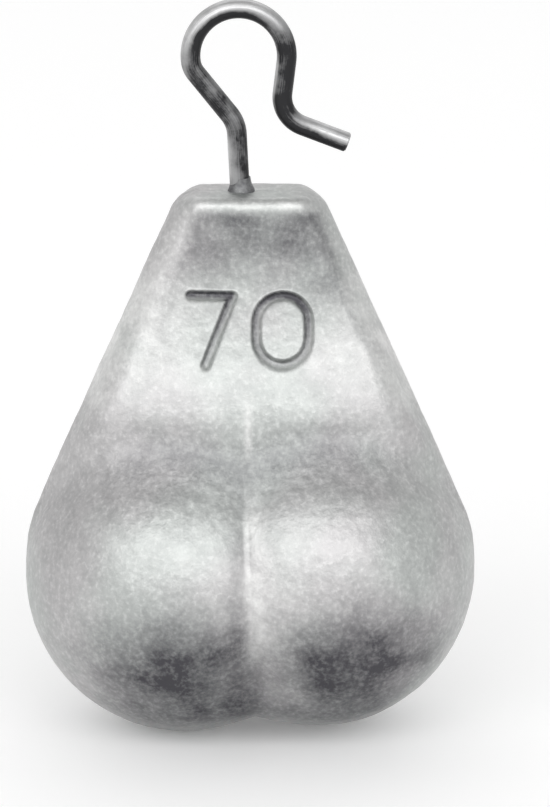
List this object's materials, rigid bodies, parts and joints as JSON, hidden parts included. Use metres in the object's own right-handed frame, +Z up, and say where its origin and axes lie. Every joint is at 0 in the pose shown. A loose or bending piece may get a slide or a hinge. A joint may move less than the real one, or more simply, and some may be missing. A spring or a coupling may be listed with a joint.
{
  "type": "fishing sinker",
  "caption": "Pear-shaped cast lead fishing sinker with paired round lobes and an open loop of bent steel wire that clips onto a swivel or line.",
  "frame": {"origin": "centre of the wire's open loop, where the line or swivel pulls", "axes": "+Z up along the stem, from the lobes to the loop; X across the width, with the hook's guide tail on the +X side; -Y out of the face that carries the weight mark"},
  "size_m": [0.0254, 0.018, 0.0422],
  "materials": {
    "cast_lead": "satin",
    "steel_wire": "satin"
  },
  "bodies": {
    "root": {"lead_body": "cast_lead", "wire_clip": "steel_wire"}
  },
  "joints": []
}
